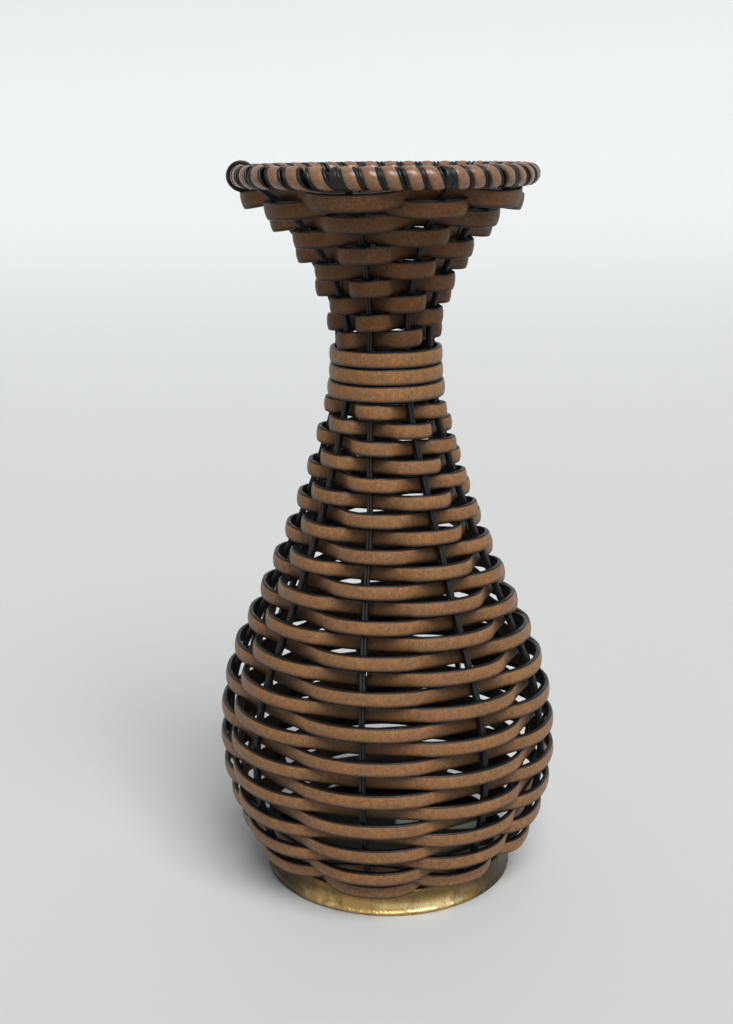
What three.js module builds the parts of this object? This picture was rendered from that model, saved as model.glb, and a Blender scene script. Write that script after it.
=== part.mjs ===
// Woven table vase: nine ribbed stakes carry a spiral of flat strip, three neck bands and a
// lashed rim, and stand inside a gold foot ring.
// Millimetres, +Z up. The origin is the middle of the underside. -Y is the front.
import * as THREE from 'three'

// Overall form: the line that every stake follows, as a radius and a height. Below the foot bend
// the stakes stand upright inside the foot ring
const footBendHeight = 10.35
const bellyRadius = 68.55
const bellyHeight = 65
const neckRadius = 19.25
const neckHeight = 224
const rimRadius = 56.6
const rimHeight = 295.3

// Gap left between pieces that touch
const clearance = 0.35

// Flat strip that is woven, banded and lashed
const stripWidth = 5.8
const stripThickness = 2.1

// Ribbed stakes
const stakeWidth = 2.7
const stakeDepth = 2.7
const stakeGroove = 0.4
const stakeStations = 26

// Spacing of the rows of strip, edge to edge along the stakes. The body rows close up on their
// way down from the neck, and stay closest from lowRowsLength above the foot bend to the foot.
// The mouth rows open up on their way to the rim, by mouthGapGrowth with each turn
const bodyStartGap = 1.23
const bodyTopGap = 1.46
const bodyEndGap = 0.79
const lowRowGap = 0.5
const lowRowsLength = 41.7
const mouthLowGap = 1.15
const mouthGapGrowth = 0.17
const mouthStartGap = 1.8
const neckBandGap = 1.04
const neckBandTotal = 3
const neckBandHeight = 217.9
const footMargin = 2.4
const rimMargin = 1.8

// Lengths of strip, laid in end to end, that make up the body and the mouth
const bodyLengths = 8
const mouthLengths = 3

// The mouth strip levels out over the last levelReach below the rim and passes levelStakes there
const levelReach = 4
const levelStakes = 4

// Foot ring and base plate
const footRingRadius = 53.2
const footRingWall = 2.2
const footRingHeight = 9.2
const basePlateThickness = 1.6

// Rim: a round hoop inside a wound strip
const hoopThickness = 3.8
const lashingGap = 2.87
const hoopSides = 41
const wrapSteps = 6
const lashingStartTurn = THREE.MathUtils.degToRad(-24.6)

const fullTurn = 2 * Math.PI

// Height and radius shares of the stake line between its named points
const footToBellyShares = [[0.067, 0.125], [0.248, 0.54], [0.468, 0.777], [0.72, 0.95]]
const bellyToNeckShares = [
  [0.146, 0.069], [0.22, 0.156], [0.289, 0.264], [0.44, 0.483],
  [0.606, 0.699], [0.781, 0.879], [0.914, 0.984]
]
const neckToRimShares = [[0.226, 0.015], [0.437, 0.132], [0.646, 0.338], [0.836, 0.612], [0.959, 0.865]]

// Hand-set stakes stray from even spacing: shares of the spacing at belly, shoulder, neck and rim
const stakeDriftShares = [
  [-0.01, -0.07, -0.26, -0.125],
  [0.05, 0.045, -0.165, -0.21],
  [-0.1, 0.04, -0.165, -0.44],
  [-0.05, -0.025, -0.175, -0.275],
  [-0.025, -0.025, -0.125, -0.15],
  [0, -0.025, -0.075, -0.025],
  [0.025, 0.025, -0.05, 0.025],
  [-0.05, -0.08, -0.06, 0],
  [-0.075, -0.06, -0.06, -0.2]
]
const shoulderShare = 0.535
const frontStakeTurn = THREE.MathUtils.degToRad(-9)
const stakeTotal = stakeDriftShares.length
const stakeSpacing = fullTurn / stakeTotal

// Outline of the foot ring: insets as shares of its wall, heights as shares of its height
const footRingShares = [
  [1, 0], [0.3, 0], [0, 0.06], [0, 0.16], [0.25, 0.28], [0.45, 0.5], [0.5, 0.8], [0.65, 1], [0.9, 1]
]

// A strip stands more upright than the wall, at this share of its tilt
const standTiltShare = 0.25
// A stake pushes a strip out or in along a line that rises or falls by a share of the wall's
// tilt, a smaller one in the mouth
const bodyPushShare = 0.4
const mouthPushShare = 0.25
// Half the length, as a share of the spacing, over which a strip lies flat across a stake
const flatShare = 0.12
// Places up and down a stake, as shares of the strip's width, where its rest is worked out, and
// the share of its width within which it must clear them
const restSampleShares = Array.from({ length: 33 }, (_, step) => (step - 16) * 0.075)
const restEdgeShare = 0.52
// How far the stake ends lean in under the rim, and how much of their depth stays clear of it
const rimSeatTurn = THREE.MathUtils.degToRad(20)
const stakeEndShare = 0.5

const strip = new THREE.MeshStandardMaterial({ color: 0x8a6644, roughness: 0.55, metalness: 0 })
const stakeBlack = new THREE.MeshStandardMaterial({ color: 0x17181a, roughness: 0.35, metalness: 0 })
const goldMetal = new THREE.MeshStandardMaterial({ color: 0xc0a268, roughness: 0.35, metalness: 1 })
const plateMetal = new THREE.MeshStandardMaterial({ color: 0x8c9389, roughness: 0.5, metalness: 0.8 })

const footRingBore = footRingRadius - footRingWall
const footStakeRadius = footRingBore - clearance - stakeDepth / 2
const stakeFootHeight = basePlateThickness + clearance

// The wound strip clears the hoop on its flats, so its corners stand a little further out
const wrapSlack = 1 / Math.cos(Math.PI / wrapSteps)
const lashingInnerRadius = (hoopThickness / 2 + clearance) * wrapSlack
const lashingOuterRadius = lashingInnerRadius + stripThickness * wrapSlack

const stakeEndReach = lashingOuterRadius + clearance + stakeEndShare * stakeDepth / 2
const stakeEndRadius = rimRadius - stakeEndReach * Math.sin(rimSeatTurn)
const stakeEndHeight = rimHeight - stakeEndReach * Math.cos(rimSeatTurn)

function named(name, geometry, material) {
  const mesh = new THREE.Mesh(geometry, material.clone())
  mesh.name = name
  return mesh
}

// A point of the object from its radius, its turn round the axis from the front, and its height
function place(radius, turn, height) {
  return new THREE.Vector3(radius * Math.sin(turn), -radius * Math.cos(turn), height)
}

// Skin a row of matching cross-sections into one solid, with flat ends unless it closes on itself
function skin(sections, closesOnItself = false) {
  const corners = sections[0].length
  const positions = sections.flat().flatMap((point) => point.toArray())
  const faces = []
  const spans = closesOnItself ? sections.length : sections.length - 1
  for (let span = 0; span < spans; span += 1) {
    const near = span * corners
    const far = ((span + 1) % sections.length) * corners
    for (let corner = 0; corner < corners; corner += 1) {
      const next = (corner + 1) % corners
      faces.push(near + corner, near + next, far + next)
      faces.push(near + corner, far + next, far + corner)
    }
  }
  if (!closesOnItself) {
    const last = (sections.length - 1) * corners
    for (const [a, b, c] of capFaces(corners)) {
      faces.push(c, b, a)
      faces.push(last + a, last + b, last + c)
    }
  }
  const geometry = new THREE.BufferGeometry()
  geometry.setAttribute('position', new THREE.Float32BufferAttribute(positions, 3))
  geometry.setIndex(faces)
  geometry.computeVertexNormals()
  return geometry
}

// A fan from the third corner, which on a stake is the bottom of the groove
function capFaces(corners) {
  const hub = 2
  const fan = []
  for (let step = 1; step < corners - 1; step += 1) {
    fan.push([hub, (hub + step) % corners, (hub + step + 1) % corners])
  }
  return fan
}

// Turn a closed outline of radius and height pairs round the axis
function revolve(outline, sides) {
  const points = outline.map(([radius, height]) => new THREE.Vector2(radius, height))
  return new THREE.LatheGeometry(points, sides).rotateX(Math.PI / 2)
}

// The points that shares give between two named points of the stake line
function spanPoints(from, to, shares) {
  return shares.map(([heightShare, radiusShare]) => new THREE.Vector3(
    THREE.MathUtils.lerp(from.x, to.x, radiusShare),
    0,
    THREE.MathUtils.lerp(from.z, to.z, heightShare)
  ))
}

// The stake line above the foot bend, as a smooth curve in radius and height
function stakeCurve() {
  const foot = new THREE.Vector3(footStakeRadius, 0, footBendHeight)
  const belly = new THREE.Vector3(bellyRadius, 0, bellyHeight)
  const neck = new THREE.Vector3(neckRadius, 0, neckHeight)
  const end = new THREE.Vector3(stakeEndRadius, 0, stakeEndHeight)
  const points = [
    foot, ...spanPoints(foot, belly, footToBellyShares),
    belly, ...spanPoints(belly, neck, bellyToNeckShares),
    neck, ...spanPoints(neck, end, neckToRimShares),
    end
  ]
  const curve = new THREE.CatmullRomCurve3(points, false, 'centripetal')
  curve.arcLengthDivisions = 600
  return curve
}

const wallCurve = stakeCurve()
const wallLength = wallCurve.getLength()

// Evenly spaced stations up the stakes, each with its radius, height and the tilt of the wall
const stations = Array.from({ length: stakeStations }, (_, index) => {
  const share = index / (stakeStations - 1)
  const point = wallCurve.getPointAt(share)
  const rise = wallCurve.getTangentAt(share)
  return { radius: point.x, height: point.z, tilt: Math.atan2(-rise.x, rise.z) }
})
const stationStep = wallLength / (stakeStations - 1)

// The wall at a length above the foot bend, read straight between the stations
function wallAt(length) {
  const along = THREE.MathUtils.clamp(length / stationStep, 0, stakeStations - 1)
  const lower = Math.min(Math.floor(along), stakeStations - 2)
  const part = along - lower
  const [from, to] = [stations[lower], stations[lower + 1]]
  return {
    radius: THREE.MathUtils.lerp(from.radius, to.radius, part),
    height: THREE.MathUtils.lerp(from.height, to.height, part),
    tilt: THREE.MathUtils.lerp(from.tilt, to.tilt, part)
  }
}

// The length above the foot bend at which the wall reaches a height
function lengthAtHeight(height) {
  const above = stations.findIndex((station) => station.height > height)
  const [from, to] = [stations[above - 1], stations[above]]
  return (above - 1 + (height - from.height) / (to.height - from.height)) * stationStep
}

// Where a stake stands round the axis at a height
function stakeTurn(stake, height) {
  const wrapped = THREE.MathUtils.euclideanModulo(stake, stakeTotal)
  const shares = stakeDriftShares[wrapped]
  const shoulderHeight = THREE.MathUtils.lerp(bellyHeight, neckHeight, shoulderShare)
  const levels = [bellyHeight, shoulderHeight, neckHeight, rimHeight]
  let drift = shares[0]
  for (let level = 1; level < levels.length; level += 1) {
    const rise = THREE.MathUtils.smoothstep(height, levels[level - 1], levels[level])
    drift += rise * (shares[level] - shares[level - 1])
  }
  return frontStakeTurn + stakeSpacing * (stake + drift)
}

// The middle and tilt of a strip where a stake pushes it off the stake line, out (side 1) or in
// (side -1), so that its near face clears the stake over the whole width of the strip
function restPlace(length, side, pushShare) {
  const wall = wallAt(length)
  const tilt = standTiltShare * wall.tilt
  const push = pushShare * wall.tilt
  const reach = stakeDepth / 2 + clearance
  const shift = side * (reach + stripThickness / 2) * Math.sin(push - tilt)
  let stakeFace = reach
  for (const share of restSampleShares) {
    const beside = wallAt(length + share * stripWidth)
    const radius = beside.radius + side * reach * Math.cos(beside.tilt) - wall.radius
    const height = beside.height + side * reach * Math.sin(beside.tilt) - wall.height
    const across = height * Math.cos(tilt) - radius * Math.sin(tilt)
    if (Math.abs(across - shift) < restEdgeShare * stripWidth) {
      stakeFace = Math.max(stakeFace, side * (radius * Math.cos(tilt) + height * Math.sin(tilt)))
    }
  }
  const offset = side * (stakeFace + stripThickness / 2) / Math.cos(push - tilt)
  return {
    radius: wall.radius + offset * Math.cos(push),
    height: wall.height + offset * Math.sin(push),
    tilt
  }
}

// The four corners of a strip that stands across the wall, for a run that turns to the right
function stripSection(radius, height, tilt, turn) {
  const corners = [[-1, -1], [1, -1], [1, 1], [-1, 1]]
  return corners.map(([up, out]) => {
    const rise = up * stripWidth / 2
    const depth = out * stripThickness / 2
    return place(
      radius + depth * Math.cos(tilt) - rise * Math.sin(tilt),
      turn,
      height + depth * Math.sin(tilt) + rise * Math.cos(tilt)
    )
  })
}

// A station of woven strip. The position counts stakes passed: on whole numbers the strip rests
// on a stake, outside where passesOutside says so, and halfway between it crosses the wall
function wovenSection(position, lengthAt, passesOutside, pushShare) {
  const stake = Math.round(position)
  const length = lengthAt(position)
  const wall = wallAt(length)
  const before = Math.floor(position)
  const turn = THREE.MathUtils.lerp(
    stakeTurn(before, wall.height), stakeTurn(before + 1, wall.height), position - before
  )
  if (Math.abs(position - stake) > 2 * flatShare) {
    return stripSection(wall.radius, wall.height, standTiltShare * wall.tilt, turn)
  }
  const { radius, height, tilt } = restPlace(length, passesOutside(stake) ? 1 : -1, pushShare)
  const sweep = turn - stakeTurn(stake, wall.height)
  return stripSection(radius / Math.cos(sweep), height, tilt, turn)
}

// One length of woven strip between two stakes that it rests on
function wovenLength(start, end, lengthAt, passesOutside, pushShare) {
  const endShare = clearance / neckRadius / stakeSpacing
  const positions = [start + endShare]
  for (let stake = start; stake < end; stake += 1) {
    positions.push(stake + flatShare, stake + 0.5, stake + 1 - flatShare)
  }
  positions.push(end - endShare)
  return skin(positions.map((position) => wovenSection(
    position, lengthAt, passesOutside, pushShare
  )))
}

// Split a run of stakes into near equal lengths that meet where the strip passes inside
function splitRun(start, end, pieces) {
  const steps = (end - start) / 2
  return Array.from({ length: pieces + 1 }, (_, index) => start + 2 * Math.round(index * steps / pieces))
}

function makeStakes() {
  const [halfWidth, halfDepth] = [stakeWidth / 2, stakeDepth / 2]
  const outline = [
    [-halfWidth, 0], [-halfWidth / 2, halfDepth], [0, halfDepth - stakeGroove],
    [halfWidth / 2, halfDepth], [halfWidth, 0], [0, -halfDepth]
  ]
  const foot = { radius: footStakeRadius, height: stakeFootHeight, tilt: 0 }
  const bend = { radius: footStakeRadius, height: footBendHeight, tilt: 0 }
  return Array.from({ length: stakeTotal }, (_, stake) => {
    const sections = [foot, bend, ...stations.slice(1)].map(({ radius, height, tilt }) => {
      const turn = stakeTurn(stake, height)
      const sideways = new THREE.Vector3(Math.cos(turn), Math.sin(turn), 0)
      return outline.map(([across, out]) => place(
        radius + out * Math.cos(tilt), turn, height + out * Math.sin(tilt)
      ).addScaledVector(sideways, across))
    })
    return named(`stake_${stake + 1}`, skin(sections), stakeBlack)
  })
}

const bodyTopPitch = stripWidth + bodyTopGap
const bodyEndPitch = stripWidth + bodyEndGap
const lowPitch = stripWidth + lowRowGap
const mouthPitch = stripWidth + mouthLowGap
const outerBandRise = (neckBandTotal - 1) / 2 * (stripWidth + neckBandGap)
const bodyTopLength = lengthAtHeight(neckBandHeight - outerBandRise) - stripWidth - bodyStartGap
const mouthStartLength = lengthAtHeight(neckBandHeight + outerBandRise) + stripWidth + mouthStartGap

// The body strip starts level under the neck bands and falls to the right
function makeBodyWeavers() {
  const closingTurns = (bodyTopLength - lowRowsLength) / ((bodyTopPitch + bodyEndPitch) / 2)
  const pitchLoss = (bodyTopPitch - bodyEndPitch) / closingTurns
  const lengthAt = (position) => {
    const turns = Math.max(position, 0) / stakeTotal
    const high = Math.min(turns, closingTurns)
    const low = turns - high
    return bodyTopLength - high * bodyTopPitch + high * high * pitchLoss / 2 - low * lowPitch
  }
  const passesOutside = (stake) => stake % 2 === 0
  const start = -3
  const room = (closingTurns + (lowRowsLength - footMargin) / lowPitch) * stakeTotal
  const end = start + 2 * Math.floor((room - start) / 2)
  const joins = splitRun(start, end, bodyLengths)
  return joins.slice(1).map((join, index) => named(
    `body_weaver_${index + 1}`,
    wovenLength(joins[index], join, lengthAt, passesOutside, bodyPushShare),
    strip
  ))
}

// The mouth strip rises to the right from the neck bands and runs level under the rim
function makeMouthWeavers() {
  const highest = wallLength - rimMargin
  const lengthAt = (position) => {
    const turns = position / stakeTotal
    const rising = mouthStartLength + turns * mouthPitch + turns * turns * mouthGapGrowth / 2
    return highest - levelReach * Math.log1p(Math.exp((highest - rising) / levelReach))
  }
  const passesOutside = (stake) => stake % 2 !== 0
  const start = -2
  const topPitch = Math.sqrt(mouthPitch ** 2 + 2 * mouthGapGrowth * (highest - mouthStartLength))
  const levelFrom = (topPitch - mouthPitch) / mouthGapGrowth * stakeTotal
  const end = 2 * Math.ceil((levelFrom + levelStakes) / 2)
  const joins = splitRun(start, end, mouthLengths)
  return joins.slice(1).map((join, index) => named(
    `mouth_weaver_${index + 1}`,
    wovenLength(joins[index], join, lengthAt, passesOutside, mouthPushShare),
    strip
  ))
}

// Closed level bands outside every stake, stacked by height
function makeNeckBands() {
  return Array.from({ length: neckBandTotal }, (_, index) => {
    const drop = index / (neckBandTotal - 1) * 2 * outerBandRise
    const length = lengthAtHeight(neckBandHeight + outerBandRise - drop)
    const { radius, height, tilt } = restPlace(length, 1, bodyPushShare)
    const sides = 3 * stakeTotal
    const sections = Array.from({ length: sides }, (_side, side) => stripSection(
      radius, height, tilt, fullTurn * side / sides
    ))
    return named(`neck_band_${index + 1}`, skin(sections, true), strip)
  })
}

function makeRimHoop() {
  const outline = Array.from({ length: wrapSteps + 1 }, (_, step) => {
    const angle = fullTurn * step / wrapSteps
    return [
      rimRadius + hoopThickness / 2 * Math.cos(angle),
      rimHeight + hoopThickness / 2 * Math.sin(angle)
    ]
  })
  return named('rim_hoop', revolve(outline, hoopSides), stakeBlack)
}

// One strip wound round the hoop. Each wrap leans to the right on its way down the outside
function makeRimLashing() {
  const wraps = Math.round(fullTurn * rimRadius / (stripWidth + lashingGap))
  const wrapTurn = fullTurn / wraps
  const middleRadius = (lashingInnerRadius + lashingOuterRadius) / 2
  const lean = Math.atan2(wrapTurn * rimRadius, fullTurn * middleRadius)
  const halfDepth = (lashingOuterRadius - lashingInnerRadius) / 2
  const sections = Array.from({ length: wraps * wrapSteps }, (_, step) => {
    const angle = -fullTurn * step / wrapSteps
    const turn = lashingStartTurn + wrapTurn * step / wrapSteps
    const outward = place(Math.cos(angle), turn, Math.sin(angle))
    const downward = place(Math.sin(angle), turn, -Math.cos(angle))
    const sideways = new THREE.Vector3(Math.cos(turn), Math.sin(turn), 0)
    const across = sideways.multiplyScalar(Math.cos(lean)).addScaledVector(downward, -Math.sin(lean))
    const middle = place(rimRadius, turn, rimHeight).addScaledVector(outward, middleRadius)
    const corners = [[-1, -1], [1, -1], [1, 1], [-1, 1]]
    return corners.map(([side, out]) => middle.clone()
      .addScaledVector(across, side * stripWidth / 2)
      .addScaledVector(outward, out * halfDepth))
  })
  return named('rim_lashing', skin(sections), strip)
}

// The foot ring flares out to a lip at its lower edge
function makeFootRing() {
  const outline = footRingShares.map(([inset, rise]) => [
    footRingRadius - inset * footRingWall,
    rise * footRingHeight
  ])
  return named('foot_ring', revolve([...outline, outline[0]], 4 * stakeTotal), goldMetal)
}

function makeBasePlate() {
  const radius = footRingBore - clearance
  const outline = [[0, 0], [radius, 0], [radius, basePlateThickness], [0, basePlateThickness]]
  return named('base_plate', revolve(outline, 4 * stakeTotal), plateMetal)
}

const vase = new THREE.Group()
vase.add(makeFootRing(), makeBasePlate(), ...makeStakes(), ...makeBodyWeavers())
vase.add(...makeNeckBands(), ...makeMouthWeavers(), makeRimHoop(), makeRimLashing())

export default vase
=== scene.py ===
"""Woven table vase: ribbed stakes, spiral strip weaving, neck bands, lashed rim and gold foot ring.

Everything is in metres, in the frame's axes: +Z up, -Y the front, the origin under the foot.
"""
import math
import bpy
import numpy as np
from mathutils import Matrix, Vector


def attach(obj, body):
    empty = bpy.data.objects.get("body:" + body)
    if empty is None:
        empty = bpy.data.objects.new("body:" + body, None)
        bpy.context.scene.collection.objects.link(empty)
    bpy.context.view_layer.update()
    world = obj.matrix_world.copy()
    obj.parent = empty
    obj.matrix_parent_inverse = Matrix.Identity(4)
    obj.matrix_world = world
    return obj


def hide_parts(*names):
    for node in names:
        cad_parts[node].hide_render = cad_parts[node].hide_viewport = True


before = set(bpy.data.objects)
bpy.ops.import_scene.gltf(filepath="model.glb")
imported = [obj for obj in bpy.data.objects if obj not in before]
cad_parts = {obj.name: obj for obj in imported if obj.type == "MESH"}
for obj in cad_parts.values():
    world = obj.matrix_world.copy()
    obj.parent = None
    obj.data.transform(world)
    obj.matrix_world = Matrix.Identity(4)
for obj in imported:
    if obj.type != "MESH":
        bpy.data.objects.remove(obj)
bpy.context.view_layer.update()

MM = 0.001

# Wall line that every stake follows, as a radius and a height
FOOT_BEND_HEIGHT = 10.35 * MM
BELLY_RADIUS = 68.55 * MM
BELLY_HEIGHT = 65 * MM
NECK_RADIUS = 19.25 * MM
NECK_HEIGHT = 224 * MM
RIM_RADIUS = 56.6 * MM
RIM_HEIGHT = 295.3 * MM
CLEARANCE = 0.35 * MM

# Flat strip: a crowned brown face between glossy black shoulders that slope down to a flat back
STRIP_WIDTH = 5.8 * MM
STRIP_THICKNESS = 2.1 * MM
STRIP_CROWN = 0.4 * MM
SHOULDER_WIDTH = 0.55 * MM
SHOULDER_DROP = 1.0 * MM
SHOULDER_DEGREES = (18, 36, 54, 72, 90)
BACK_CORNER = 0.2 * MM
BACK_DEGREES = (180, 135, 90)
# The face alone, without its shoulders, on the body, the neck and the mouth
BODY_FACE_WIDTH = 5.3 * MM
BAND_FACE_WIDTH = 5.7 * MM
MOUTH_FACE_WIDTH = 6.0 * MM

# Ribbed stakes, slimmer in the mouth, whose ends loop flat round the outside of the rim
STAKE_WIDTH = 2.35 * MM
STAKE_DEPTH = 2.7 * MM
RIB_DEGREES = (10, 42, 74, 106, 138, 170)
MOUTH_STAKE_WIDTH = 2.1 * MM
SLIM_FROM_SHARE = 0.6
LOOP_DEPTH = 1.6 * MM
LOOP_WIDTH = 4.2 * MM
LOOP_START_GAP = 3 * MM
LOOP_DEGREES = (-85, -60, -35, -10, 15, 40, 65, 90, 115, 140)
# Stakes are counted from 0 at the front, to the right
FRONT_LOOP_WIDTHS = {0: 6 * MM, 1: 4.8 * MM}
FRONT_LOOP_DRIFTS = {0: math.radians(-3.4)}
LOOSE_LOOP_STAKE = 7

# Spacing of the rows, edge to edge along the stakes
BODY_START_GAP = 1.23 * MM
BODY_TOP_GAP = 1.46 * MM
BODY_END_GAP = 0.79 * MM
LOW_ROW_GAP = 0.5 * MM
LOW_ROWS_LENGTH = 41.7 * MM
MOUTH_LOW_GAP = 1.15 * MM
MOUTH_GAP_GROWTH = 0.17 * MM
MOUTH_START_GAP = 1.8 * MM
NECK_BAND_GAP = 1.04 * MM
NECK_BAND_TOTAL = 3
NECK_BAND_HEIGHT = 217.9 * MM
FOOT_MARGIN = 2.4 * MM
RIM_MARGIN = 1.8 * MM
BODY_LENGTHS = 8
MOUTH_LENGTHS = 3
# The strips start so many stakes before the front one, behind a stake
BODY_START_STAKE = -3
MOUTH_START_STAKE = -2
LEVEL_REACH = 4 * MM
LEVEL_STAKES = 4

# Rim: a ribbed hoop and the strip wound round it
HOOP_THICKNESS = 3.8 * MM
HOOP_RIBS = 8
HOOP_RIB_HEIGHT = 0.18 * MM
LASHING_GAP = 2.87 * MM
LASHING_START_TURN = math.radians(-24.6)
LASHING_FACE_WIDTH = 5.1 * MM
LASHING_CORNER = 0.5 * MM
LASHING_CORNER_DEGREES = (22, 45, 68)
LASHING_BEAD_RADIUS = 0.6 * MM
LASHING_BEAD_DEGREES = (-45, -10, 25, 60, 95, 135)
LASHING_BEAD_DROP = 0.95 * MM
# Hand-wound wraps stray from even spacing: degrees at the wraps from the start turn to the right
WRAP_DRIFT = [
    (-13, -6), (-9, -6.3), (-5, -6.5), (-4, -4.3), (-3, -3.1), (-2, -1.3), (-1, -1.5), (0, 0),
    (1, 3.0), (2, 1.4), (3, -0.2), (4, -1.1), (5, -3.1), (6, -1.3), (7, -3.4), (8, -4.5),
    (9, -4.7), (10, -5.6), (13, -4.6), (16, -7.0), (20, -5.2), (24, -6.8), (28, -6),
]

# Foot: a plate that closes the vase inside a hand-beaten ring, which dips at the front
BASE_PLATE_THICKNESS = 1.6 * MM
FOOT_RING_RADIUS = 53.2 * MM
FOOT_RING_WALL = 2.2 * MM
FOOT_RING_HEIGHT = 9.2 * MM
FOOT_RING_RISE = 2.2 * MM
FOOT_RING_DIP_TURN = math.radians(18)
# Inset of the wall and rise of the height, from the underside out round the lip and up
FOOT_RING_SHARES = [
    (1, 0), (0.55, 0), (0.2, 0), (0.03, 0.03), (0, 0.07), (0.03, 0.11), (0.14, 0.15), (0.3, 0.19),
    (0.41, 0.26), (0.46, 0.38), (0.48, 0.55), (0.49, 0.75), (0.51, 0.9), (0.57, 0.97), (0.68, 1),
    (0.82, 0.98), (0.9, 0.9), (0.95, 0.5),
]
FOOT_RING_OUTER_SHARE = 0.6
FOOT_RING_INNER_SIDES = 3
# Uneven beating: size, waves round the ring and their start. The radius takes a share of it
FOOT_RING_SWAYS = [(0.12 * MM, 3, 1), (0.08 * MM, 7, 0), (0.05 * MM, 17, 2)]
RADIUS_SWAY_SHARE = 0.8

# Height and radius shares of the wall line between its named points
FOOT_TO_BELLY_SHARES = [(0.067, 0.125), (0.248, 0.54), (0.468, 0.777), (0.72, 0.95)]
BELLY_TO_NECK_SHARES = [
    (0.146, 0.069), (0.22, 0.156), (0.289, 0.264), (0.44, 0.483),
    (0.606, 0.699), (0.781, 0.879), (0.914, 0.984),
]
NECK_TO_RIM_SHARES = [
    (0.226, 0.015), (0.437, 0.132), (0.646, 0.338), (0.836, 0.612), (0.959, 0.865),
]

# Stakes stray from even spacing: shares of the spacing at belly, shoulder, neck and rim
STAKE_DRIFT_SHARES = [
    (-0.01, -0.07, -0.26, -0.125),
    (0.05, 0.045, -0.165, -0.21),
    (-0.1, 0.04, -0.165, -0.44),
    (-0.05, -0.025, -0.175, -0.275),
    (-0.025, -0.025, -0.125, -0.15),
    (0, -0.025, -0.075, -0.025),
    (0.025, 0.025, -0.05, 0.025),
    (-0.05, -0.08, -0.06, 0),
    (-0.075, -0.06, -0.06, -0.2),
]
SHOULDER_SHARE = 0.535
FRONT_STAKE_TURN = math.radians(-9)
STAKE_TOTAL = len(STAKE_DRIFT_SHARES)
FULL_TURN = 2 * math.pi
STAKE_SPACING = FULL_TURN / STAKE_TOTAL

# A strip stands more upright than the wall, and a stake pushes it off the wall line at a slope.
# It lies flat on the stake for a share of the way to the next, and its arc is a little full
STAND_TILT_SHARE = 0.25
BODY_PUSH_SHARE = 0.4
MOUTH_PUSH_SHARE = 0.25
FLAT_SHARE = 0.06
FULLNESS = 0.8
# It rests on what stands out most of a stake's face, looked at so many strip widths up and down
FACE_REACHES = np.linspace(-1.2, 1.2, 33)
BESIDE_SHARE = 0.52

# Where the wall line ends, just under the lashing
RIM_SEAT_TURN = math.radians(20)
WRAP_SLACK = 1 / math.cos(math.pi / 6)
LASHING_OUTER = HOOP_THICKNESS / 2 + CLEARANCE + STRIP_THICKNESS
STAKE_END_REACH = LASHING_OUTER * WRAP_SLACK + CLEARANCE + STAKE_DEPTH / 4

# Numbers of a strip's materials
ON_FACE, ON_EDGE, ON_BACK = range(3)

# Fineness of the meshes
STATIONS_PER_STAKE = 16
STATIONS_PER_WRAP = 24
BAND_STATIONS = 144
RING_STATIONS = 240
STAKE_STATIONS = 70
LOOP_STEPS = 4
FLATTENING_STATIONS = 10
CROWN_SIDES = 10
HOOP_CORNERS = 48

# Camera that took the reference view: a level aim turned down by its pitch and rolled a little
CAMERA_PLACE = Vector((-8.5, -577.6, 309.56)) * MM
CAMERA_PITCH = math.radians(14.72)
CAMERA_ROLL = math.radians(-0.53)
CAMERA_LENS = 50.16
CAMERA_SENSOR = 36

# One wide lamp high at the front right, and a faint sky that is brighter above
LAMP_ELEVATION = math.radians(54)
LAMP_AZIMUTH = math.radians(22)
LAMP_SPREAD = math.radians(38)
LAMP_POWER = 3.1
SKY_COLOUR = (0.95, 0.98, 1, 1)
SKY_LOW = 0.06
SKY_HIGH = 0.3

# Floor that turns paler behind and bends up into the backdrop, in metres
FLOOR_HALF = 6.0
FLOOR_FADE = (0.4, 3.0)
BACKDROP_DEPTH = 3.0
BACKDROP_BEND = 1.5
BACKDROP_TOP = 6.0

# Colours, as they are seen
STRIP_BROWN = (143, 102, 66)
STRIP_ORANGE = (178, 118, 63)
STRIP_DULL = (108, 82, 60)
STRIP_SPARK = (190, 145, 99)
LASHING_BROWN = (146, 106, 78)
# Darker, more saturated brown for the mouth strips, as painted shade under the rim
MOUTH_SHADED_BROWN = (142, 92, 52)
STRIP_BACK = (26, 18, 12)
EDGE_BLACK = (11, 7, 5)
STAKE_BLACK = (19, 19, 18)
HOOP_BLACK = (12, 12, 12)
GOLD = (186, 152, 96)
# Gold's painted highlight colour, and bronze: its worn colour, which also carries painted shade, and the
# highlight colour of the ring's inside
GOLD_HIGHLIGHT = (255, 232, 172)
BRONZE = (88, 73, 51)
# Inside of the foot ring, darkened as painted shade
SHADED_INNER_BRONZE = (44, 36, 26)
# Base plate: its dark colour is painted shade, its pale colour painted light
PLATE_SHADE_DARK = (34, 30, 24)
PLATE_LIT_COLOUR = (150, 160, 148)
FLOOR_PALE = (206, 208, 207)
BACKDROP_PALE = (215, 217, 217)

# Strip's face: how far its edges darken inwards, the lower one wider as painted shade, how dark they get,
# and its painted shade inside a stake
UPPER_EDGE_FADE = 0.4 * MM
LOWER_EDGE_AND_SHADE_FADE = 1.3 * MM
SHADE_TONE = 0.4
INSIDE_SHADE = 0.6

# Roughness of the black strip edges, stakes and hoop
BLACK_ROUGHNESS = 0.3

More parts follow.
